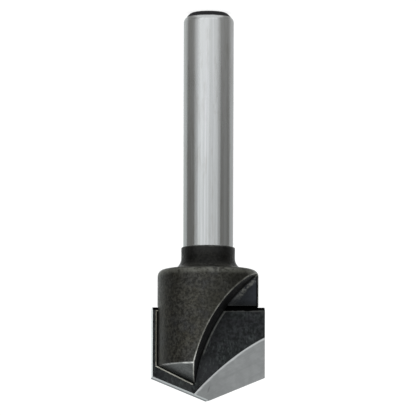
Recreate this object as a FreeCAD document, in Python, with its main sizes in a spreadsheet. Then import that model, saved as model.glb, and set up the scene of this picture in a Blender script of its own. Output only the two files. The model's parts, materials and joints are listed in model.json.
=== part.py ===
import FreeCAD, Part
import os
import re

import Sketcher
from FreeCAD import Placement, Rotation, Vector

# A v-groove router bit with a quarter inch shank, standing on the flat end of its shank.
# Sub-parts are drawn with the tool's axis along Z, its point at the origin and its shank along +Z.
# The cutting face of the wing at +X looks along -Y, and half a turn about Z gives the other wing.
# Every sub-part then gets the same placement, which stands the tool on its shank, point up.

doc = FreeCAD.newDocument("v_groove_bit")
sizes = doc.addObject("Spreadsheet::Sheet", "Sizes")

# Driving dimensions, in millimetres and degrees.
driving = [
    ("overall_length", 49.2, "from the point to the shank's end"),
    ("shank_diameter", 6.35, "ground to fit a quarter inch collet"),
    ("shank_end_chamfer", 0.95, "45 degree chamfer at the shank's end"),
    ("shank_end_round", 0.8, "radius that blends both edges of that chamfer"),
    ("collar_diameter", 6.77, "neck left unground between shank and body"),
    ("collar_length", 2.85, "from the shoulder to the ground shank"),
    ("collar_edge_round", 0.12, "round on the collar's upper edge"),
    ("collar_fillet", 1.5, "radius where the collar runs into the shoulder"),
    ("shoulder_height", 16.5, "from the point to the shoulder"),
    ("shoulder_round", 0.8, "round on the shoulder's rim"),
    ("body_diameter", 12.7, "round body that backs the plate"),
    ("nose_height", 4.4, "from the point to where the body's nose cone starts"),
    ("nose_angle", 26.5, "slope of the nose cone from square to the axis"),
    ("cutter_diameter", 14.3, "across the two outer cutting edges"),
    ("point_angle", 135.0, "angle between the two lower cutting edges"),
    ("plate_thickness", 1.8, "thickness of the cutting plate"),
    ("plate_height", 11.75, "from the point to the plate's top"),
    ("plate_top_chamfer", 0.4, "chamfer along the plate's two top edges"),
    ("side_relief", 7.5, "clearance angle behind the outer cutting edges"),
    ("point_relief", 7.5, "clearance angle behind the lower cutting edges"),
    ("face_grind_depth", 0.08, "how far each cutting face is ground down"),
    ("face_grind_radius", 30.6, "radius of the arc that bounds the ground face"),
    ("face_grind_side", 21.2, "centre of that arc, out from the axis"),
    ("face_grind_drop", 19.2, "centre of that arc, below the point"),
    ("gullet_radius", 21.25, "radius of the gullet's wall at its floor"),
    ("gullet_draft", 5.0, "draft of the gullet's wall"),
    ("gullet_side", 19.4, "centre of the gullet's arc, out from the axis"),
    ("gullet_drop", 0.7, "centre of the gullet's arc, below the point"),
    ("gullet_corner", 0.3, "radius between the gullet's wall and its floor"),
    ("slot_end_gap", 0.2, "between the plate's top and the slot's end"),
    ("braze_film", 0.05, "braze on each side of the plate in its slot"),
    ("braze_bead", 0.22, "leg of the braze bead along the seam"),
]

# Sizes that follow from the driving ones.
derived = [
    ("shank_radius", "shank_diameter / 2"),
    ("collar_radius", "collar_diameter / 2"),
    ("collar_top", "shoulder_height + collar_length"),
    ("body_radius", "body_diameter / 2"),
    ("nose_apex", "nose_height - body_radius * tan(nose_angle)"),
    ("plate_half", "plate_thickness / 2"),
    ("face_level", "plate_half - face_grind_depth"),
    ("wing_front", "cutter_diameter / 2 + face_grind_depth * tan(side_relief)"),
    ("wing_back", "wing_front - plate_thickness * tan(side_relief)"),
    ("edge_slope", "90 - point_angle / 2"),
    ("slot_half", "plate_half + braze_film"),
    ("slot_end", "plate_height + slot_end_gap"),
    ("gullet_reach", "body_radius + braze_bead + gullet_corner"),
]

names = {row[0] for row in driving + derived}
TINY = 1e-4


def fill_sheet():
    row = 1
    for name, number, note in driving:
        sizes.set(f"A{row}", note)
        sizes.set(f"B{row}", str(number))
        sizes.setAlias(f"B{row}", name)
        row += 1
    for name, formula in derived:
        sizes.set(f"B{row}", "=" + formula)
        sizes.setAlias(f"B{row}", name)
        row += 1
    doc.recompute()


def number(expression):
    """What an expression of the sheet's names comes to now."""
    result = sizes.evalExpression(expression)
    return float(getattr(result, "Value", result))


def bind(item, prop, expression):
    """Ties a property to an expression of the sheet's names."""
    def from_sheet(word):
        return "Sizes." + word.group() if word.group() in names else word.group()
    item.setExpression(prop, re.sub("[a-z_]+", from_sheet, expression))


def origin_part(body, role):
    return next(f for f in body.Origin.OriginFeatures if f.Role == role)


def make_body(label):
    """An empty body, turned over and lifted so that the shank's end is at the height of zero."""
    body = doc.addObject("PartDesign::Body", label)
    body.Label = label
    body.Placement = Placement(Vector(0, 0, 0), Rotation(Vector(0, 1, 0), 180))
    bind(body, "Placement.Base.z", "overall_length")
    return body


def make_sketch(body, name, role, lift="0"):
    """A sketch on one of the body's own planes, or lifted off it along the plane's normal."""
    sketch = body.newObject("Sketcher::SketchObject", name)
    sketch.AttachmentSupport = [(origin_part(body, role), "")]
    sketch.MapMode = "FlatFace"
    if lift != "0":
        bind(sketch, "AttachmentOffset.Base.z", lift)
    return sketch


def hold(sketch, geometry, point, across, up):
    """Fixes a point of the sketch by its two distances from the origin."""
    for direction, distance in (("DistanceX", across), ("DistanceY", up)):
        constraint = Sketcher.Constraint(direction, -1, 1, geometry, point, number(distance))
        index = sketch.addConstraint(constraint)
        bind(sketch, f"Constraints[{index}]", distance)


def draw_outline(sketch, corners):
    """A closed outline of straight edges, each corner given by two expressions."""
    points = [Vector(number(across), number(up), 0) for across, up in corners]
    count = len(points)
    for i in range(count):
        sketch.addGeometry(Part.LineSegment(points[i], points[(i + 1) % count]))
    for i in range(count):
        sketch.addConstraint(Sketcher.Constraint("Coincident", i, 2, (i + 1) % count, 1))
        hold(sketch, i, 1, *corners[i])


def draw_circle(sketch, across, up, radius):
    centre = Vector(number(across), number(up), 0)
    sketch.addGeometry(Part.Circle(centre, Vector(0, 0, 1), number(radius)))
    hold(sketch, 0, 3, across, up)
    index = sketch.addConstraint(Sketcher.Constraint("Radius", 0, number(radius)))
    bind(sketch, f"Constraints[{index}]", radius)


def add_feature(body, kind, name, profile):
    feature = body.newObject(kind, name)
    feature.Profile = profile
    body.Tip = feature
    return feature


def spin(body, kind, name, corners):
    """Turns an outline in the XZ plane a full turn about the tool's axis."""
    sketch = make_sketch(body, name + "_outline", "XZ_Plane")
    draw_outline(sketch, corners)
    feature = add_feature(body, kind, name, sketch)
    feature.ReferenceAxis = (sketch, ["V_Axis"])
    feature.Angle = 360
    return feature


def cut_through(body, name, sketch):
    """Cuts a sketch's outline away on both sides of its plane."""
    cut = add_feature(body, "PartDesign::Pocket", name, sketch)
    cut.Type = "ThroughAll"
    cut.Midplane = True
    return cut


def half_turn_copy(body, name, feature):
    """Repeats a feature on the other side of the tool's axis."""
    pattern = body.newObject("PartDesign::PolarPattern", name)
    pattern.Originals = [feature]
    pattern.Axis = (origin_part(body, "Z_Axis"), [""])
    pattern.Angle = 360
    pattern.Occurrences = 2
    body.Tip = pattern


def dress_edges(body, kind, name, size, picks):
    """Fillets or chamfers the edges of the body's tip that a test picks."""
    doc.recompute()
    base = body.Tip
    edges = [f"Edge{i}" for i, edge in enumerate(base.Shape.Edges, 1) if picks(edge)]
    if not edges:
        raise RuntimeError(name + " finds no edge")
    feature = body.newObject(kind, name)
    feature.Base = (base, edges)
    bind(feature, "Radius" if kind == "PartDesign::Fillet" else "Size", size)
    body.Tip = feature


def turned_edge(radius, height):
    """Picks the edge that was turned at one radius and height."""
    def picks(edge):
        curve = edge.Curve
        return (
            isinstance(curve, Part.Circle)
            and abs(curve.Radius - number(radius)) < TINY
            and abs(curve.Center.z - number(height)) < TINY
        )
    return picks


def gullet_foot(edge):
    """Picks the arcs where the gullets' walls meet their floors."""
    curve = edge.Curve
    return (
        isinstance(curve, Part.Circle)
        and abs(curve.Radius - number("gullet_radius")) < TINY
        and abs(abs(curve.Center.y) - number("plate_half")) < TINY
    )


def plate_top_edge(edge):
    """Picks the two long edges of the plate's top."""
    box = edge.BoundBox
    return box.ZMin > number("plate_height") - TINY and box.XLength > number("body_radius")


def mill_gullet(body, side):
    """Cuts one gullet with a disc whose arbor is parallel to Y.

    The disc's flat end leaves the floor, level with the plate's face, and its tapered rim the wall.
    side is + for the gullet in front of the wing at +X and - for the one behind the wing at -X.
    """
    sketch = make_sketch(body, "gullet_section", "XY_Plane", "-gullet_drop")
    rim = "gullet_side - gullet_radius"
    spread = "(gullet_reach - plate_half) * tan(gullet_draft)"
    draw_outline(sketch, [
        (f"{side}gullet_side", f"{side}(-plate_half)"),
        (f"{side}({rim})", f"{side}(-plate_half)"),
        (f"{side}({rim} - {spread})", f"{side}(-gullet_reach)"),
        (f"{side}gullet_side", f"{side}(-gullet_reach)"),
    ])
    gullet = add_feature(body, "PartDesign::Groove", "gullet", sketch)
    gullet.ReferenceAxis = (sketch, ["Edge4"])
    gullet.Angle = 360
    return gullet


def build_cutter_body():
    """Shank, collar and body in one piece of steel, turned, then milled for gullets and plate."""
    body = make_body("cutter_body")
    spin(body, "PartDesign::Revolution", "turned", [
        ("0", "nose_apex"),
        ("body_radius", "nose_height"),
        ("body_radius", "shoulder_height"),
        ("collar_radius", "shoulder_height"),
        ("collar_radius", "collar_top"),
        ("shank_radius", "collar_top"),
        ("shank_radius", "overall_length"),
        ("0", "overall_length"),
    ])
    for name, radius, height, size in (
        ("shoulder_rim", "body_radius", "shoulder_height", "shoulder_round"),
        ("collar_foot", "collar_radius", "shoulder_height", "collar_fillet"),
        ("collar_rim", "collar_radius", "collar_top", "collar_edge_round"),
    ):
        dress_edges(body, "PartDesign::Fillet", name, size, turned_edge(radius, height))
    dress_edges(body, "PartDesign::Chamfer", "shank_end", "shank_end_chamfer",
                turned_edge("shank_radius", "overall_length"))
    for name, radius, height in (
        ("shank_end_rim", "shank_radius", "overall_length - shank_end_chamfer"),
        ("shank_end_face_rim", "shank_radius - shank_end_chamfer", "overall_length"),
    ):
        dress_edges(body, "PartDesign::Fillet", name, "shank_end_round", turned_edge(radius, height))

    half_turn_copy(body, "gullets", mill_gullet(body, "+"))
    dress_edges(body, "PartDesign::Fillet", "gullet_corners", "gullet_corner", gullet_foot)

    slot = make_sketch(body, "slot_section", "YZ_Plane")
    draw_outline(slot, [
        ("-slot_half", "-overall_length"),
        ("slot_half", "-overall_length"),
        ("slot_half", "slot_end"),
        ("-slot_half", "slot_end"),
    ])
    cut_through(body, "slot", slot)
    return body


def build_cutting_plate():
    """One carbide plate through the body, ground to two wings with a lower edge each."""
    body = make_body("cutting_plate")
    section = make_sketch(body, "blank_section", "XY_Plane")
    draw_outline(section, [
        ("wing_front", "-plate_half"),
        ("wing_back", "plate_half"),
        ("-wing_front", "plate_half"),
        ("-wing_back", "-plate_half"),
    ])
    blank = add_feature(body, "PartDesign::Pad", "blank", section)
    bind(blank, "Length", "plate_height")
    dress_edges(body, "PartDesign::Chamfer", "top_chamfers", "plate_top_chamfer", plate_top_edge)

    arc = make_sketch(body, "ground_face_arc", "XZ_Plane", "face_level")
    draw_circle(arc, "face_grind_side", "-face_grind_drop", "face_grind_radius")
    ground = add_feature(body, "PartDesign::Pocket", "ground_face", arc)
    bind(ground, "Length", "2 * face_grind_depth")
    ground.Reversed = True
    half_turn_copy(body, "ground_faces", ground)

    # This sketch's plane is square to the lower edge at +X, so its slope is the clearance.
    below = make_sketch(body, "point_relief_section", "YZ_Plane")
    below.AttachmentOffset = Placement(Vector(0, 0, 0), Rotation(Vector(-1, 0, 0), 1))
    bind(below, "AttachmentOffset.Rotation.Angle", "edge_slope")
    fall = "plate_thickness * tan(point_relief)"
    draw_outline(below, [
        ("-plate_thickness", f"-{fall}"),
        ("-plate_thickness", "-cutter_diameter"),
        ("plate_thickness", "-cutter_diameter"),
        ("plate_thickness", fall),
    ])
    relief = cut_through(body, "point_relief", below)
    half_turn_copy(body, "point_reliefs", relief)
    return body


def seam_outline(side, leg):
    """The plate's face that the steel covers, with a margin of one leg past the steel's edge."""
    reach = f"(body_radius + {leg})"
    drop = f"{leg} / cos(nose_angle)"
    corner = f"nose_height + {leg} * tan(nose_angle) - {drop}"
    top = "plate_height - plate_top_chamfer"
    return [
        (f"{side}(-{reach})", top),
        (f"{side}(-{reach})", corner),
        ("0", f"nose_apex - {drop}"),
        (f"{side}{reach}", corner),
        (f"{side}{reach}", top),
    ]


def build_braze_seam(label, side):
    """Brazing metal on one face of the plate: a bead outside the steel and the film behind it."""
    body = make_body(label)
    bead_base = make_sketch(body, "bead_base", "XZ_Plane", f"{side}plate_half")
    draw_outline(bead_base, seam_outline(side, "braze_bead"))
    bead = add_feature(body, "PartDesign::Pad", "bead", bead_base)
    bind(bead, "Length", "braze_bead")
    bead.TaperAngle = -45
    bead.Reversed = side == "-"
    spin(body, "PartDesign::Groove", "steel_side", [
        ("0", "nose_apex"),
        ("body_radius", "nose_height"),
        ("body_radius", "shoulder_height"),
        ("0", "shoulder_height"),
    ])
    film_base = make_sketch(body, "film_base", "XZ_Plane", f"{side}plate_half")
    draw_outline(film_base, seam_outline(side, "(braze_bead / 2)"))
    film = add_feature(body, "PartDesign::Pad", "film", film_base)
    bind(film, "Length", "braze_film")
    film.Reversed = side == "-"
    mill_gullet(body, side)
    return body


def check_document():
    """Stops if any object has failed."""
    for item in doc.Objects:
        if "Invalid" in item.State or "Error" in item.State:
            raise RuntimeError(f"{item.Name} has failed: {item.getStatusString()}")


def write_part(body):
    shape = body.Shape
    if shape.isNull() or not shape.isValid() or len(shape.Solids) != 1:
        raise RuntimeError(body.Label + " is not one valid solid")
    shape.exportStep(f"parts/{body.Label}.step")
    print(body.Label, round(shape.Volume, 3), "mm3")


fill_sheet()
parts = [
    build_cutter_body(),
    build_cutting_plate(),
    build_braze_seam("braze_seam_front", "+"),
    build_braze_seam("braze_seam_rear", "-"),
]
doc.recompute()
check_document()
os.makedirs("parts", exist_ok=True)
for part in parts:
    write_part(part)
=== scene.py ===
import json
import math

import bpy
from mathutils import Matrix, Vector


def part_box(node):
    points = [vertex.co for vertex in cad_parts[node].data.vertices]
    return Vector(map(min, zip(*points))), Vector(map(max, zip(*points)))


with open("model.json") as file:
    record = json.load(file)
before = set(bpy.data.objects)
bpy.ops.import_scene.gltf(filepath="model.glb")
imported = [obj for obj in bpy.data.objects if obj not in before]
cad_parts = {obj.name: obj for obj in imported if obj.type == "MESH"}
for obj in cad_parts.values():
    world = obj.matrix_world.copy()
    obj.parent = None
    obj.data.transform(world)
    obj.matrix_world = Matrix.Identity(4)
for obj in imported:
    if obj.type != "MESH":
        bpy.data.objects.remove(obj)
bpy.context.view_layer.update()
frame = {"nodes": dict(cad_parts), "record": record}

# Cutter body: shank, collar and round body turned from one bar of tool steel and milled for the
# plate. The shank is ground bright after hardening; collar, body and gullets keep the black
# heat-treatment scale, which is rubbed through to grey steel along their edges.

MM = 0.001
shank_mount = next(m for m in frame["record"]["mounts"] if m["name"] == "shank")

# Heights above the shank's end face, in millimetres like all other sizes of the tool.
TIP_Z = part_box("cutting_plate")[1].z / MM
PLATE_END_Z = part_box("cutting_plate")[0].z / MM
NOSE_Z = TIP_Z - 4.4
NOSE_RUB_Z = NOSE_Z + 0.09
SHOULDER_Z = TIP_Z - 16.5
ROUND_END_Z = SHOULDER_Z + 0.8
GROUND_FROM = 0.64
GROUND_TO = shank_mount["pos_m"][2] / MM + shank_mount["dims"]["length_mm"] / 2
GROUND_WANDER = 0.1

# The body's outline, the gullet's floor, which is level with the plate's face, and the gullet's
# wall, which is an arc in side view and leans back.
BODY_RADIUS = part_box("cutter_body")[1].x / MM
NOSE_SLOPE = math.tan(math.radians(26.5))
FLOOR_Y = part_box("cutting_plate")[1].y / MM
GULLET_SIDE = 19.4
GULLET_Z = TIP_Z + 0.7
GULLET_RADIUS = 21.25
GULLET_DRAFT = math.tan(math.radians(5))
CORNER_OUT = GULLET_SIDE - GULLET_RADIUS

# How wide the marks of wear and the shoulder's partly painted highlight are, and how far the corner of
# ridge and nose is rubbed.
RIM_WIDTH = 1.1
RIDGE_WIDTH = 0.2
NOSE_LINE_WIDTH = 0.11
DARK_SIDE_WIDTH = 3.4
CORNER_REACH = 3.6

# How deep fine and coarse marks stand in the surfaces.
FINE_RELIEF = 0.02 * MM
COARSE_RELIEF = 0.05 * MM


def add_node(tree, kind, settings=None, **inputs):
    """Adds a node; inputs are named by socket, with _ for a space, and take values or links."""
    node = tree.nodes.new(kind)
    for name, value in (settings or {}).items():
        setattr(node, name, value)
    for name, value in inputs.items():
        plug(tree, node.inputs[name.replace("_", " ")], value)
    return node


def plug(tree, socket, value):
    """Links a socket to an output, or gives it a value."""
    if isinstance(value, bpy.types.NodeSocket):
        tree.links.new(value, socket)
    else:
        socket.default_value = value


def calc(tree, operation, *values, clamp=False):
    """One Math node; returns its output."""
    node = tree.nodes.new("ShaderNodeMath")
    node.operation = operation
    node.use_clamp = clamp
    for socket, value in zip(node.inputs, values):
        plug(tree, socket, value)
    return node.outputs[0]


def ramp_up(tree, value, low, high, to_low=0.0, to_high=1.0):
    """A smooth step as a value goes from low to high; low may be the larger number."""
    node = add_node(tree, "ShaderNodeMapRange", {"interpolation_type": "SMOOTHSTEP"}, Value=value)
    for name, number in (("From Min", low), ("From Max", high), ("To Min", to_low), ("To Max", to_high)):
        plug(tree, node.inputs[name], number)
    return node.outputs[0]


def mix(tree, share, first, second):
    """Mixes two colours; returns the result."""
    node = tree.nodes.new("ShaderNodeMix")
    node.data_type = "RGBA"
    plug(tree, node.inputs[0], share)
    plug(tree, node.inputs[6], first)
    plug(tree, node.inputs[7], second)
    return node.outputs[2]


def noise(tree, place, scale, detail=2.0, roughness=0.5):
    """One Noise Texture; returns its value."""
    node = add_node(tree, "ShaderNodeTexNoise", Vector=place, Scale=scale, Detail=detail,
                    Roughness=roughness)
    return node.outputs["Fac"]


def stretch(tree, place, scale):
    """Multiplies a place by a number for each axis."""
    node = add_node(tree, "ShaderNodeVectorMath", {"operation": "MULTIPLY"})
    plug(tree, node.inputs[0], place)
    plug(tree, node.inputs[1], scale)
    return node.outputs[0]


def new_group(name, inputs, outputs):
    """A node group with float or vector sockets; returns the tree, its input node and output node."""
    group = bpy.data.node_groups.new(name, "ShaderNodeTree")
    for label, kind, default in inputs:
        socket = group.interface.new_socket(label, in_out="INPUT", socket_type=kind)
        if default is not None:
            socket.default_value = default
    for label, kind in outputs:
        group.interface.new_socket(label, in_out="OUTPUT", socket_type=kind)
    return group, group.nodes.new("NodeGroupInput"), group.nodes.new("NodeGroupOutput")


def use_group(tree, group, **inputs):
    """Adds a node group to a tree."""
    return add_node(tree, "ShaderNodeGroup", {"node_tree": group}, **inputs)


def make_worn_and_highlit_edges():
    """Rounds sharp edges in the shading and puts out a broken mask along them."""
    tree, start, end = new_group(
        "worn_and_highlit_edges",
        [("Place", "NodeSocketVector", None), ("Radius", "NodeSocketFloat", 0.2),
         ("Breaks", "NodeSocketFloat", 0.5)],
        [("Mask", "NodeSocketFloat"), ("Normal", "NodeSocketVector")],
    )
    width = calc(tree, "MULTIPLY", start.outputs["Radius"], MM)
    rounded = add_node(tree, "ShaderNodeBevel", {"samples": 6}, Radius=width)
    flat = tree.nodes.new("ShaderNodeNewGeometry")
    turn = add_node(tree, "ShaderNodeVectorMath", {"operation": "DOT_PRODUCT"})
    plug(tree, turn.inputs[0], rounded.outputs[0])
    plug(tree, turn.inputs[1], flat.outputs["Normal"])
    edge = ramp_up(tree, turn.outputs["Value"], 0.995, 0.93)
    patches = ramp_up(tree, noise(tree, start.outputs["Place"], 1.6, 4.0, 0.6), 0.3, 0.65)
    whole = calc(tree, "SUBTRACT", 1.0, start.outputs["Breaks"])
    kept = calc(tree, "MULTIPLY_ADD", patches, start.outputs["Breaks"], whole)
    plug(tree, end.inputs["Mask"], calc(tree, "MULTIPLY", edge, kept, clamp=True))
    plug(tree, end.inputs["Normal"], rounded.outputs[0])
    return tree


def make_grinding_lines():
    """Fine parallel lines left by a grinding wheel, longest along the axis where Stretch is least."""
    tree, start, end = new_group(
        "grinding_lines",
        [("Place", "NodeSocketVector", None), ("Stretch", "NodeSocketVector", None)],
        [("Lines", "NodeSocketFloat"), ("Bands", "NodeSocketFloat")],
    )
    place = stretch(tree, start.outputs["Place"], start.outputs["Stretch"])
    plug(tree, end.inputs["Lines"], noise(tree, place, 1.0, 3.0, 0.65))
    plug(tree, end.inputs["Bands"], noise(tree, place, 0.25, 2.0, 0.5))
    return tree


def make_mottle():
    """Clouds, blotches and specks of a scaled or sintered surface, each from 0 to 1."""
    tree, start, end = new_group(
        "mottle",
        [("Place", "NodeSocketVector", None), ("Size", "NodeSocketFloat", 1.0)],
        [("Clouds", "NodeSocketFloat"), ("Blotches", "NodeSocketFloat"), ("Specks", "NodeSocketFloat")],
    )
    scale = calc(tree, "DIVIDE", 1.0, start.outputs["Size"])
    place = start.outputs["Place"]
    for name, factor in (("Clouds", 0.45), ("Blotches", 1.3), ("Specks", 3.0)):
        value = noise(tree, place, calc(tree, "MULTIPLY", scale, factor), 3.0, 0.6)
        plug(tree, end.inputs[name], ramp_up(tree, value, 0.36, 0.64))
    return tree


def make_crevice_shade():
    """Puts out a mask in narrow gaps and inner corners, for painted shade where little light reaches."""
    tree, start, end = new_group(
        "crevice_shade", [("Reach", "NodeSocketFloat", 0.4)], [("Mask", "NodeSocketFloat")])
    reach = calc(tree, "MULTIPLY", start.outputs["Reach"], MM)
    openness = add_node(tree, "ShaderNodeAmbientOcclusion", {"samples": 8}, Distance=reach)
    plug(tree, end.inputs["Mask"], ramp_up(tree, openness.outputs["AO"], 0.8, 0.25))
    return tree


worn_and_highlit_edges = make_worn_and_highlit_edges()
grinding_lines = make_grinding_lines()
mottle = make_mottle()
crevice_shade = make_crevice_shade()


def new_material(name):
    """A material with its tree, shader, place in millimetres and that place's three parts."""
    material = bpy.data.materials.new(name)
    material.use_nodes = True
    tree = material.node_tree
    shader = tree.nodes["Principled BSDF"]
    place = stretch(tree, tree.nodes.new("ShaderNodeTexCoord").outputs["Object"], (1 / MM,) * 3)
    parts = add_node(tree, "ShaderNodeSeparateXYZ", Vector=place).outputs
    return material, tree, shader, place, parts


def dress(node_name, material):
    """Gives a CAD node its material."""
    mesh = frame["nodes"][node_name].data
    mesh.materials.clear()
    mesh.materials.append(material)


def fold(tree, x, y):
    """Distances out from the axis and off the plate's middle, the same for both wings."""
    return calc(tree, "MULTIPLY", x, calc(tree, "SIGN", y)), calc(tree, "ABSOLUTE", y)


def distance_to(tree, out, up, centre_out, centre_up):
    """How far a place lies from a point, each given by two coordinates."""
    out_part = calc(tree, "POWER", calc(tree, "SUBTRACT", out, centre_out), 2.0)
    up_part = calc(tree, "POWER", calc(tree, "SUBTRACT", up, centre_up), 2.0)
    return calc(tree, "SQRT", calc(tree, "ADD", out_part, up_part))


def from_gullet(tree, out, off, z):
    """How far a place lies outside the gullet's wall."""
    rim_rub_and_highlight = calc(tree, "MULTIPLY_ADD", calc(tree, "SUBTRACT", off, FLOOR_Y), GULLET_DRAFT, GULLET_RADIUS)
    return calc(tree, "SUBTRACT", distance_to(tree, out, z, GULLET_SIDE, GULLET_Z), rim_rub_and_highlight)


def overlap(tree, *masks):
    """The share that lies in every one of some masks."""
    result = masks[0]
    for mask in masks[1:]:
        result = calc(tree, "MULTIPLY", result, mask, clamp=True)
    return result


def paint(tree, under, *coats):
    """Lays coats over a colour, each a mask, how strong it is and its colour."""
    for mask, strength, colour in coats:
        share = calc(tree, "MULTIPLY", mask, strength, clamp=True)
        under = mix(tree, share, under, colour)
    return under


def ground_steel(tree, place, z):
    """Colour, roughness and fine rings of the ground shank, with long streaks along its axis."""
    streaks = use_group(tree, grinding_lines, Place=place, Stretch=(5.0, 5.0, 0.02)).outputs
    rings = use_group(tree, grinding_lines, Place=place, Stretch=(0.15, 0.15, 14.0)).outputs
    hairlines = use_group(tree, grinding_lines, Place=place, Stretch=(9.0, 9.0, 0.06)).outputs["Lines"]
    stains = noise(tree, stretch(tree, place, (1.5, 1.5, 0.3)), 1.0, 4.0, 0.65)
    tint = mix(tree, streaks["Bands"], (0.51, 0.53, 0.525, 1), (0.58, 0.575, 0.6, 1))
    colour = paint(
        tree, mix(tree, streaks["Lines"], (0.48, 0.49, 0.49, 1), tint),
        # The first coat is painted shade, darkening the shank towards the collar.
        (ramp_up(tree, z, 0.3 * GROUND_TO, GROUND_TO), 0.26, (0.25, 0.26, 0.25, 1)),
        (ramp_up(tree, z, 12.0, 1.0), 0.12, (0.8, 0.8, 0.78, 1)),
        (ramp_up(tree, stains, 0.5, 0.68), 0.28, (0.34, 0.33, 0.3, 1)),
        (ramp_up(tree, hairlines, 0.52, 0.66), 0.16, (0.33, 0.34, 0.33, 1)),
        (ramp_up(tree, hairlines, 0.46, 0.34), 0.25, (0.75, 0.74, 0.77, 1)),
    )
    banded = ramp_up(tree, streaks["Bands"], 0.3, 0.7, -0.04, 0.04)
    roughness = calc(tree, "ADD", banded, ramp_up(tree, z, 0.0, GROUND_TO, 0.31, 0.16))
    return colour, roughness, rings["Lines"]


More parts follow.
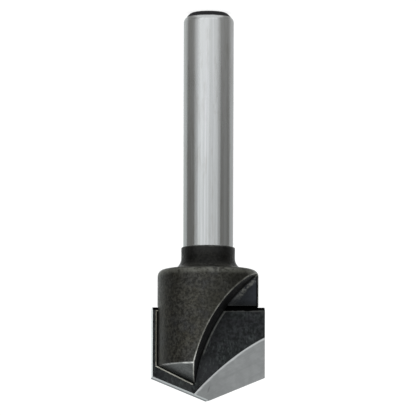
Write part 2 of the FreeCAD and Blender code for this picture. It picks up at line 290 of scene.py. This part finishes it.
def make_tool_steel():
    """Steel ground on the shank, black with scale on collar and body, and rubbed along its edges."""
    material, tree, shader, place, (x, y, z) = new_material("tool_steel")
    edges = use_group(tree, worn_and_highlit_edges, Place=place, Radius=0.2, Breaks=0.5).outputs
    spots = use_group(tree, mottle, Place=place, Size=1.0).outputs
    corners = use_group(tree, crevice_shade, Reach=0.4).outputs["Mask"]
    out, off = fold(tree, x, y)
    radius = distance_to(tree, x, y, 0.0, 0.0)
    outside_gullet = from_gullet(tree, out, off, z)
    fine_specks = ramp_up(tree, noise(tree, place, 7.0, 3.0, 0.7), 0.52, 0.68)

    # Where the steel is ground: the shank from halfway up its end chamfer to the collar.
    lowered = calc(tree, "SUBTRACT", z, GROUND_WANDER / 2)
    ragged = calc(tree, "MULTIPLY_ADD", noise(tree, place, 1.5), GROUND_WANDER, lowered)
    ground = overlap(
        tree,
        ramp_up(tree, ragged, GROUND_FROM - 0.04, GROUND_FROM + 0.04),
        ramp_up(tree, ragged, GROUND_TO + 0.03, GROUND_TO - 0.03),
    )

    # Where it is milled: inside the turned outline of the body. The rest of the body is turned.
    inside = calc(tree, "SUBTRACT", BODY_RADIUS, radius)
    nose_top = calc(tree, "MULTIPLY_ADD", inside, NOSE_SLOPE, NOSE_Z)
    milled = overlap(
        tree,
        ramp_up(tree, inside, 0.02, 0.08),
        ramp_up(tree, calc(tree, "SUBTRACT", nose_top, z), 0.02, 0.08),
        ramp_up(tree, z, ROUND_END_Z, ROUND_END_Z + 0.1),
    )
    turned = calc(tree, "SUBTRACT", 1.0, milled)
    floor = overlap(tree, milled, ramp_up(tree, off, FLOOR_Y + 0.12, FLOOR_Y + 0.02))
    collar = ramp_up(tree, z, SHOULDER_Z - 0.2, SHOULDER_Z - 0.7)
    nose = overlap(tree, turned, ramp_up(tree, z, NOSE_Z - 0.02, NOSE_Z + 0.06))
    end_face = ramp_up(tree, z, 1.2, 0.8)

    # Pale places: the shoulder's rim, partly rubbed and partly a painted highlight on its round, the
    # ridge above the gullet's wall and the nose's edge, rubbed most where the two meet, and the rough
    # strip that the cutter left on the gullet's floor.
    beside_plate = ramp_up(tree, off, FLOOR_Y - 0.02, FLOOR_Y + 0.06)
    patches = ramp_up(tree, noise(tree, place, 0.9, 4.0, 0.65), 0.36, 0.56)
    rim_rub_and_highlight = overlap(
        tree, patches,
        ramp_up(tree, z, SHOULDER_Z + 0.05, SHOULDER_Z + 0.35),
        ramp_up(tree, z, SHOULDER_Z + RIM_WIDTH, SHOULDER_Z + 0.5),
    )
    ridge = overlap(
        tree, turned, beside_plate,
        ramp_up(tree, outside_gullet, RIDGE_WIDTH, 0.04),
        ramp_up(tree, z, SHOULDER_Z + 0.3, SHOULDER_Z + 1.0),
        ramp_up(tree, noise(tree, place, 0.8, 3.0), 0.35, 0.62, 0.3, 1.0),
    )
    wander = calc(tree, "MULTIPLY_ADD", noise(tree, place, 0.9, 2.0), 0.7, outside_gullet)
    rough_strip = overlap(
        tree, floor,
        ramp_up(tree, wander, -0.52, -0.15),
        ramp_up(tree, wander, 0.27, 0.04),
        ramp_up(tree, z, PLATE_END_Z - 0.5, PLATE_END_Z - 2.2, 0.1, 1.0),
        ramp_up(tree, noise(tree, place, 2.6, 4.0, 0.75), 0.38, 0.56),
    )
    from_corner = calc(
        tree, "ADD",
        distance_to(tree, out, z, CORNER_OUT, NOSE_Z),
        calc(tree, "SUBTRACT", BODY_RADIUS, off),
    )
    corner_rub = ramp_up(tree, from_corner, CORNER_REACH, 0.5, 0.3, 1.0)
    from_nose_line = calc(tree, "ABSOLUTE", calc(tree, "SUBTRACT", z, NOSE_RUB_Z))
    nose_edge = overlap(
        tree, turned, corner_rub,
        ramp_up(tree, from_nose_line, NOSE_LINE_WIDTH, 0.03),
        ramp_up(tree, noise(tree, place, 1.3, 3.0), 0.3, 0.5, 0.4, 1.0),
    )
    rubbed = overlap(tree, edges["Mask"], turned, corner_rub)
    rubbed_strength = ramp_up(tree, z, NOSE_Z - 0.25, NOSE_Z - 0.05, 1.0, 0.3)
    rubbed_milled = overlap(tree, edges["Mask"], milled, corner_rub)
    ridge_corner = overlap(tree, ridge, ramp_up(tree, from_corner, 3.0, 0.5))

    # Places of another tone: darker beside the ridge, under the shoulder and at the floor's very
    # edge, with painted shade on the floor beside the plate's end; paler on the floor's outer part and
    # on the collar by the shank.
    dark_side = overlap(
        tree, turned, beside_plate,
        ramp_up(tree, outside_gullet, DARK_SIDE_WIDTH, 0.8),
        ramp_up(tree, z, NOSE_Z - 3.0, SHOULDER_Z + 4.5),
        ramp_up(tree, noise(tree, place, 0.6, 3.0), 0.3, 0.6, 0.4, 1.0),
    )
    under_shoulder = overlap(tree, turned, ramp_up(tree, z, SHOULDER_Z + 5.0, SHOULDER_Z + 1.2))
    collar_end = overlap(tree, collar, ramp_up(tree, z, GROUND_TO + 1.4, GROUND_TO + 0.4))
    slot_end_shade = overlap(tree, floor, ramp_up(tree, z, PLATE_END_Z - 1.3, PLATE_END_Z - 0.3))
    outer_floor = overlap(tree, floor, ramp_up(tree, inside, 1.5, 0.4))
    floor_edge = overlap(tree, floor, ramp_up(tree, inside, 0.3, 0.2))
    # Painted shade in narrow gaps and inner corners, weaker on the turned surface.
    corner_shade = overlap(tree, corners, ramp_up(tree, turned, 0.0, 1.0, 1.0, 0.3))
    wide_clouds = noise(tree, stretch(tree, place, (1.0, 1.0, 0.7)), 0.22, 2.0)

    # Black scale: warm and cool clouds, smoother on the nose, darkest where milled and on the collar.
    colour = mix(tree, spots["Clouds"], (0.042, 0.039, 0.03, 1), (0.038, 0.039, 0.042, 1))
    grey_edge = (0.3, 0.3, 0.27, 1)
    colour = paint(
        tree, colour,
        (ramp_up(tree, wide_clouds, 0.4, 0.62), 0.4, (0.06, 0.057, 0.046, 1)),
        (spots["Blotches"], 0.6, (0.085, 0.083, 0.072, 1)),
        (spots["Specks"], 0.85, (0.014, 0.014, 0.012, 1)),
        (fine_specks, 0.5, (0.1, 0.099, 0.09, 1)),
        (dark_side, 0.55, (0.016, 0.016, 0.012, 1)),
        (under_shoulder, 0.2, (0.012, 0.012, 0.01, 1)),
        (nose, 0.75, (0.049, 0.054, 0.053, 1)),
        (milled, 0.85, (0.013, 0.0135, 0.015, 1)),
        (floor, 0.65, (0.019, 0.0215, 0.026, 1)),
        (outer_floor, 0.5, (0.03, 0.033, 0.042, 1)),
        # Painted shade on the floor beside the slot's end.
        (slot_end_shade, 0.6, (0.006, 0.006, 0.006, 1)),
        (collar, 0.75, (0.004, 0.004, 0.004, 1)),
        (collar_end, 0.35, (0.035, 0.035, 0.035, 1)),
        (end_face, 0.6, (0.03, 0.03, 0.035, 1)),
        (rim_rub_and_highlight, 0.5, (0.2, 0.2, 0.175, 1)),
        (rough_strip, 0.8, (0.15, 0.15, 0.138, 1)),
        (rubbed, rubbed_strength, (0.5, 0.5, 0.47, 1)),
        (rubbed_milled, 0.15, grey_edge),
        (floor_edge, 0.9, (0.003, 0.003, 0.004, 1)),
        (nose_edge, 1.0, (0.62, 0.62, 0.6, 1)),
        (ridge, 0.8, grey_edge),
        (ridge_corner, 0.8, (0.6, 0.6, 0.57, 1)),
        (corner_shade, 0.9, (0.003, 0.003, 0.003, 1)),
    )

    shank_colour, shank_rough, rings = ground_steel(tree, place, z)
    scaled = calc(tree, "SUBTRACT", 1.0, ground)
    plug(tree, shader.inputs["Base Color"], mix(tree, ground, colour, shank_colour))
    plug(tree, shader.inputs["Metallic"], ramp_up(tree, ground, 0.0, 1.0, 0.9, 1.0))
    scale_rough = ramp_up(tree, spots["Blotches"], 0.0, 1.0, 0.36, 0.48)
    scale_rough = calc(tree, "MAXIMUM", scale_rough, ramp_up(tree, z, 2.0, 1.0, 0.3, 0.7))
    rough = calc(tree, "MULTIPLY_ADD", ground, shank_rough, calc(tree, "MULTIPLY", scaled, scale_rough))
    plug(tree, shader.inputs["Roughness"], rough)

    pits = calc(tree, "MULTIPLY", spots["Specks"], scaled)
    height = calc(tree, "MULTIPLY_ADD", calc(tree, "MULTIPLY", rings, ground), 0.12, pits)
    bump = add_node(tree, "ShaderNodeBump", Strength=0.6, Distance=FINE_RELIEF, Height=height,
                    Normal=edges["Normal"])
    plug(tree, shader.inputs["Normal"], bump.outputs[0])
    return material


dress("cutter_body", make_tool_steel())

# Cutting plate: one flat plate of sintered carbide brazed through the body's slot. Its faces are
# dark as sintered; the cutting face of each wing is ground bright from an arc to its edges, and so
# are the relief faces behind every cutting edge.

# The ground cutting face: how deep it is sunk, the arc that ends it and the slant of its lines. The
# edge of the arc stays as dark as the sintered face, in a strip that narrows from the axis outwards.
GRIND_DEPTH = 0.08
GRIND_SIDE = 21.2
GRIND_Z = TIP_Z + 19.2
GRIND_RADIUS = 30.6
GRIND_DARK_EDGE = (0.19, 0.04)
GRIND_OUT = 6.5
GRAIN_TILT = math.radians(-28)

# A short dark smudge near the point: its middle, how much it leans and how long it is for its width.
SMUDGE_Z = TIP_Z - 1.4
SMUDGE_OUT = 0.12
SMUDGE_SLANT = 1 / 3
SMUDGE_SHARE = 0.2
SMUDGE_ACROSS = SMUDGE_OUT + SMUDGE_SLANT * SMUDGE_Z
SMUDGE_ALONG = SMUDGE_SHARE * SMUDGE_Z
SMUDGE_WIDTH = 0.13

# Thin lines on the sintered face, one along the gullet's foot and one beside the plate's end that
# is a painted highlight below its chamfer, then the painted shade and the chamfer at that end.
FOOT_LINE_IN = 0.28
FOOT_LINE_WIDTH = 0.13
END_LINE_Z = PLATE_END_Z + 0.52
END_LINE_WIDTH = 0.12
END_SHADE_Z = PLATE_END_Z + 0.46
CHAMFER_Z = PLATE_END_Z + 0.4

# The paler middle of the sintered face and the darker part of the ground face near the point.
MIDDLE_Z = TIP_Z - 3.6
MIDDLE_REACH = 2.6
POINT_REACH = 4.5


def make_carbide():
    """Carbide left dark as sintered, and ground bright on cutting and relief faces."""
    material, tree, shader, place, (x, y, z) = new_material("carbide")
    edges = use_group(tree, worn_and_highlit_edges, Place=place, Radius=0.1, Breaks=0.6).outputs
    spots = use_group(tree, mottle, Place=place, Size=1.2).outputs
    corners = use_group(tree, crevice_shade, Reach=0.45).outputs["Mask"]
    out, off = fold(tree, x, y)
    folded = add_node(tree, "ShaderNodeCombineXYZ", X=out, Y=off, Z=z).outputs[0]
    facing = add_node(
        tree, "ShaderNodeSeparateXYZ",
        Vector=tree.nodes.new("ShaderNodeNewGeometry").outputs["True Normal"]).outputs
    along_y = calc(tree, "ABSOLUTE", facing[1])
    flat = ramp_up(tree, along_y, 0.9, 0.96)

    # Ground faces: those that don't look along Y, and those sunk below the sintered face.
    sides = ramp_up(tree, along_y, 0.6, 0.5)
    relief = overlap(tree, sides, ramp_up(tree, facing[2], -0.5, -0.4))
    upward = overlap(tree, relief, ramp_up(tree, facing[2], 0.4, 0.6))
    sunk = ramp_up(tree, off, FLOOR_Y - 0.3 * GRIND_DEPTH, FLOOR_Y - 0.7 * GRIND_DEPTH)
    inside_arc = calc(tree, "SUBTRACT", GRIND_RADIUS, distance_to(tree, out, z, GRIND_SIDE, GRIND_Z))
    inside_rim = calc(
        tree, "SUBTRACT", inside_arc, ramp_up(tree, out, 0.0, GRIND_OUT, *GRIND_DARK_EDGE))
    cutting_face = overlap(tree, sunk, flat, ramp_up(tree, inside_rim, -0.04, 0.02))
    ground = calc(tree, "MAXIMUM", relief, cutting_face, clamp=True)

    # As sintered: near black with faint clouds, darker beside the gullet's wall, paler below the
    # nose and in the middle, scuffed here and there, with a line of braze at the gullet's foot.
    # The plate's end faces, its chamfer and the face beside them inside the body are painted black as
    # shade; a faint painted highlight runs along the edges and in a line below the chamfer.
    outside_gullet = from_gullet(tree, out, off, z)
    from_foot = calc(tree, "ABSOLUTE", calc(tree, "ADD", outside_gullet, FOOT_LINE_IN))
    foot_line = overlap(
        tree,
        ramp_up(tree, from_foot, FOOT_LINE_WIDTH, 0.06),
        ramp_up(tree, z, NOSE_Z - 1.0, PLATE_END_Z + 5.5),
        ramp_up(tree, noise(tree, place, 2.0), 0.3, 0.55, 0.4, 1.0),
    )
    beside_wall = overlap(
        tree, ramp_up(tree, outside_gullet, -1.9, -0.5), ramp_up(tree, outside_gullet, 0.1, -0.1))
    below_nose = overlap(
        tree,
        ramp_up(tree, outside_gullet, 0.2, 0.6),
        ramp_up(tree, z, NOSE_Z + 0.3, NOSE_Z + 1.0),
        ramp_up(tree, out, -6.0, -4.4),
    )
    plate_middle = ramp_up(tree, distance_to(tree, out, z, 0.0, MIDDLE_Z), MIDDLE_REACH, 0.6)
    # Painted shade: black on the face beside the plate's end inside the body, and on the end's faces and
    # chamfer.
    blotched_z = calc(tree, "MULTIPLY_ADD", spots["Blotches"], -0.1, z)
    end_shade = overlap(
        tree,
        ramp_up(tree, blotched_z, END_SHADE_Z, END_SHADE_Z - 0.1),
        ramp_up(tree, calc(tree, "ABSOLUTE", x), BODY_RADIUS + 0.1, BODY_RADIUS - 0.2),
    )
    end_faces = overlap(
        tree,
        ramp_up(tree, facing[2], -0.3, -0.5),
        ramp_up(tree, z, CHAMFER_Z, CHAMFER_Z - 0.1),
    )
    black = calc(tree, "MAXIMUM", end_shade, end_faces)
    # A painted highlight in a thin line just below the end's chamfer.
    from_end_line = calc(tree, "ABSOLUTE", calc(tree, "SUBTRACT", z, END_LINE_Z))
    end_line_highlight = overlap(
        tree, flat,
        ramp_up(tree, from_end_line, END_LINE_WIDTH, 0.05),
        ramp_up(tree, noise(tree, place, 1.1), 0.35, 0.55, 0.3, 1.0),
    )
    scuffs = overlap(
        tree,
        ramp_up(tree, noise(tree, stretch(tree, place, (3.0, 1.0, 1.2)), 1.5, 4.0, 0.7), 0.5, 0.68),
        ramp_up(tree, noise(tree, place, 0.35, 2.0), 0.42, 0.6),
    )
    sinter = mix(tree, spots["Clouds"], (0.019, 0.0215, 0.0215, 1), (0.024, 0.024, 0.0265, 1))
    sinter = paint(
        tree, sinter,
        (spots["Blotches"], 0.5, (0.041, 0.045, 0.046, 1)),
        (spots["Specks"], 0.85, (0.011, 0.012, 0.012, 1)),
        (beside_wall, 0.35, (0.011, 0.011, 0.011, 1)),
        (below_nose, 0.45, (0.041, 0.042, 0.042, 1)),
        (plate_middle, 0.5, (0.04, 0.041, 0.044, 1)),
        (scuffs, 0.5, (0.07, 0.08, 0.078, 1)),
        # A faint painted highlight along the plate's edges.
        (edges["Mask"], 0.1, (0.1, 0.105, 0.11, 1)),
        (end_line_highlight, 0.6, (0.06, 0.06, 0.058, 1)),
        # Painted shade in narrow gaps and inner corners.
        (corners, 0.85, (0.003, 0.003, 0.003, 1)),
        (foot_line, 0.85, (0.1, 0.102, 0.096, 1)),
        (black, 1.0, (0.002, 0.002, 0.002, 1)),
    )

    # As ground: fine slanting lines, a painted highlight along the arc's rim and brighter relief faces.
    slanted = add_node(
        tree, "ShaderNodeVectorRotate", {"rotation_type": "Y_AXIS"},
        Vector=folded, Angle=GRAIN_TILT).outputs[0]
    lines = use_group(tree, grinding_lines, Place=slanted, Stretch=(0.5, 2.0, 9.0)).outputs
    serrated = calc(tree, "MULTIPLY_ADD", lines["Lines"], 0.5, calc(tree, "SUBTRACT", inside_rim, 0.25))
    arc_rim_highlight = overlap(tree, cutting_face, ramp_up(tree, serrated, 0.3, 0.1))
    smudge_across = calc(tree, "MULTIPLY_ADD", z, SMUDGE_SLANT, out)
    smudge_along = calc(tree, "MULTIPLY", z, SMUDGE_SHARE)
    from_smudge = distance_to(tree, smudge_across, smudge_along, SMUDGE_ACROSS, SMUDGE_ALONG)
    smudge = overlap(tree, cutting_face, ramp_up(tree, from_smudge, SMUDGE_WIDTH, 0.03))
    near_point = ramp_up(tree, distance_to(tree, out, z, 0.0, TIP_Z), POINT_REACH, 1.0)
    towards_edge = calc(tree, "MULTIPLY", y, calc(tree, "SIGN", x))
    land = overlap(tree, upward, ramp_up(tree, towards_edge, -0.1 * FLOOR_Y, 0.25 * FLOOR_Y))
    cross_lines = use_group(tree, grinding_lines, Place=place, Stretch=(7.0, 0.4, 7.0)).outputs["Lines"]
    cross_marks = overlap(tree, relief, ramp_up(tree, cross_lines, 0.46, 0.62))
    bright = mix(tree, lines["Lines"], (0.19, 0.197, 0.197, 1), (0.262, 0.267, 0.267, 1))
    bright = paint(
        tree, bright,
        (lines["Bands"], 0.35, (0.3, 0.305, 0.305, 1)),
        (spots["Blotches"], 0.3, (0.15, 0.155, 0.155, 1)),
        (near_point, 0.35, (0.155, 0.16, 0.16, 1)),
        (arc_rim_highlight, 0.85, (0.46, 0.47, 0.47, 1)),
        (smudge, 0.5, (0.09, 0.09, 0.09, 1)),
        (relief, 1.0, (0.9, 0.92, 0.93, 1)),
        (upward, 1.0, (0.42, 0.44, 0.45, 1)),
        (cross_marks, 0.18, (0.3, 0.31, 0.31, 1)),
        (land, 1.0, (0.09, 0.1, 0.11, 1)),
    )

    plug(tree, shader.inputs["Base Color"], mix(tree, ground, sinter, bright))
    metal = ramp_up(tree, ground, 0.0, 1.0, 0.9, 1.0)
    metal = calc(tree, "MULTIPLY", metal, calc(tree, "SUBTRACT", 1.0, black))
    plug(tree, shader.inputs["Metallic"], metal)
    plug(tree, shader.inputs["Roughness"], ramp_up(tree, ground, 0.0, 1.0, 0.42, 0.36))
    shader.inputs["Specular IOR Level"].default_value = 0.0
    height = calc(tree, "MULTIPLY", calc(tree, "MULTIPLY", lines["Lines"], ground), 0.6)
    bump = add_node(tree, "ShaderNodeBump", Strength=0.3, Distance=FINE_RELIEF, Height=height,
                    Normal=edges["Normal"])
    plug(tree, shader.inputs["Normal"], bump.outputs[0])
    return material


dress("cutting_plate", make_carbide())

# Braze seams: the brazing metal that ran out of the joint and set as a small bead along the edge
# of the steel, one on each side of the plate. It is left as it set, a dull tan.


def make_braze():
    """Tan braze on the bead's crest, and painted shade, near black, where it sinks into the joint."""
    material, tree, shader, place, (x, y, z) = new_material("braze")
    spots = use_group(tree, mottle, Place=place, Size=0.5).outputs
    out, off = fold(tree, x, y)
    crest = overlap(
        tree,
        ramp_up(tree, off, FLOOR_Y + 0.16, FLOOR_Y + 0.06),
        ramp_up(tree, from_gullet(tree, out, off, z), 0.08, 0.3),
    )
    sunken = calc(tree, "SUBTRACT", 1.0, crest)
    along_nose = ramp_up(tree, z, NOSE_Z - 0.8, NOSE_Z + 0.3)
    colour = mix(tree, spots["Clouds"], (0.33, 0.32, 0.27, 1), (0.27, 0.268, 0.24, 1))
    colour = paint(
        tree, colour,
        (spots["Blotches"], 0.4, (0.2, 0.19, 0.15, 1)),
        (spots["Specks"], 0.3, (0.5, 0.47, 0.38, 1)),
        (along_nose, 0.75, (0.7, 0.69, 0.62, 1)),
        # Painted shade, near black, where the bead sinks into the joint.
        (sunken, 1.0, (0.005, 0.005, 0.005, 1)),
    )
    plug(tree, shader.inputs["Base Color"], colour)
    plug(tree, shader.inputs["Roughness"], ramp_up(tree, spots["Specks"], 0.0, 1.0, 0.35, 0.55))
    plug(tree, shader.inputs["Metallic"], calc(tree, "MULTIPLY", crest, 0.9))
    shader.inputs["Specular IOR Level"].default_value = 0.0
    bump = add_node(tree, "ShaderNodeBump", Strength=0.5, Distance=COARSE_RELIEF,
                    Height=spots["Blotches"])
    plug(tree, shader.inputs["Normal"], bump.outputs[0])
    return material


braze = make_braze()
for seam in ("braze_seam_front", "braze_seam_rear"):
    dress(seam, braze)

# Floor and light: glowing white paper under the tool, and large soft boxes round it, whose edges
# and gaps make the bands on the shank. The paper isn't seen in the steel and lets light from below
# through.

FLOOR_HALF = 3.0
PAPER_GLOW = 0.87
SURROUND_GLOW = 0.27
LIGHTS_AIM = Vector((0, 0, 0.0245))
LIGHTS_DISTANCE = 0.9

floor_mesh = bpy.data.meshes.new("floor")
floor_corners = [(FLOOR_HALF * x, FLOOR_HALF * y, 0) for x, y in ((-1, -1), (1, -1), (1, 1), (-1, 1))]
floor_mesh.from_pydata(floor_corners, [], [(0, 1, 2, 3)])
floor = bpy.data.objects.new("floor", floor_mesh)
bpy.context.scene.collection.objects.link(floor)
floor.visible_glossy = False
floor.visible_shadow = False
floor_material = bpy.data.materials.new("floor_paper")
floor_material.use_nodes = True
paper = floor_material.node_tree.nodes["Principled BSDF"]
paper.inputs["Base Color"].default_value = (0.2, 0.2, 0.2, 1)
paper.inputs["Roughness"].default_value = 0.9
paper.inputs["Emission Color"].default_value = (1, 1, 1, 1)
paper.inputs["Emission Strength"].default_value = PAPER_GLOW
floor_mesh.materials.append(floor_material)


def soft_box(name, azimuth, elevation, width, height, radiance, colour=(0.955, 0.98, 1.0)):
    """An even rectangle of light, placed and sized by angles as seen from the tool's middle.

    All angles are in degrees, and azimuth is 0 behind the camera and grows towards +X. A radiance of
    1 is white where a mirror would show the box, and colour tints it.
    """
    turn = math.radians(azimuth)
    lift = math.radians(elevation)
    level = math.cos(lift)
    towards = Vector((math.sin(turn) * level, -math.cos(turn) * level, math.sin(lift)))
    light = bpy.data.lights.new(name, "AREA")
    light.shape = "RECTANGLE"
    light.size = 2 * LIGHTS_DISTANCE * math.tan(math.radians(width / 2))
    light.size_y = 2 * LIGHTS_DISTANCE * math.tan(math.radians(height / 2))
    light.energy = radiance * math.pi * light.size * light.size_y
    light.color = colour
    box = bpy.data.objects.new(name, light)
    box.location = LIGHTS_AIM + towards * LIGHTS_DISTANCE
    box.rotation_mode = "QUATERNION"
    box.rotation_quaternion = towards.to_track_quat("Z", "Y")
    box.visible_camera = False
    bpy.context.scene.collection.objects.link(box)


soft_box("front_box_left", 24, 0, 52, 70, 1.0)
soft_box("front_box_right", -23, 0, 42, 70, 0.76)
soft_box("side_box_left", 58, 0, 16, 70, 0.42)
soft_box("side_box_right", -50, 0, 12, 70, 0.36)
soft_box("faint_box_right", -84, 0, 18, 70, 0.08)
soft_box("back_box_left", 145, 5, 60, 70, 0.5, (0.92, 0.99, 0.99))
soft_box("back_box_right", -144, 5, 62, 70, 0.4)
soft_box("back_box_low", 180, -20, 40, 40, 0.6)
soft_box("top_box", 180, 65, 70, 55, 1.2)
soft_box("front_top_box", 0, 55, 80, 34, 1.1)
soft_box("under_box", 0, -70, 80, 80, 0.75)

# The surround is white where it is seen, and lights the tool more faintly and a little warmer.
world = bpy.data.worlds.new("studio")
bpy.context.scene.world = world
world.use_nodes = True
studio = world.node_tree
surround = studio.nodes["Background"]
seen = studio.nodes.new("ShaderNodeLightPath").outputs["Is Camera Ray"]
plug(studio, surround.inputs["Color"], mix(studio, seen, (1, 0.995, 0.95, 1), (1, 1, 1, 1)))
plug(studio, surround.inputs["Strength"], ramp_up(studio, seen, 0.0, 1.0, SURROUND_GLOW, 1.0))
bpy.context.scene.view_settings.view_transform = "Standard"

# Camera: the photo was taken from a little above the tool as it stands on its shank and is shown
# upside down, so the camera is turned over about its line of sight.

CAMERA_ELEVATION = math.radians(6.61)
CAMERA_DISTANCE = 0.9
CAMERA_CLIP = 0.01
CAMERA_SENSOR = 36
CAMERA_LENS_PX = 7149
CAMERA_ROLL = math.radians(0.17)
CAMERA_AIM = Vector((0, 0, 0.02481))
AXIS_PX = 208.24
FRAME_PX = 416

camera = bpy.data.cameras.new("camera")
camera.sensor_width = CAMERA_SENSOR
camera.lens = CAMERA_LENS_PX / FRAME_PX * CAMERA_SENSOR
camera.clip_start = CAMERA_CLIP
camera_object = bpy.data.objects.new("camera", camera)
back = Vector((0, -math.cos(CAMERA_ELEVATION), math.sin(CAMERA_ELEVATION)))
upright = back.to_track_quat("Z", "Y").to_matrix()
turned = upright @ Matrix.Rotation(math.pi + CAMERA_ROLL, 3, "Z")
side_step = (FRAME_PX / 2 - AXIS_PX) / CAMERA_LENS_PX * CAMERA_DISTANCE
place = CAMERA_AIM + back * CAMERA_DISTANCE + turned @ Vector((side_step, 0, 0))
camera_object.matrix_world = Matrix.Translation(place) @ turned.to_4x4()
bpy.context.scene.collection.objects.link(camera_object)
bpy.context.scene.camera = camera_object
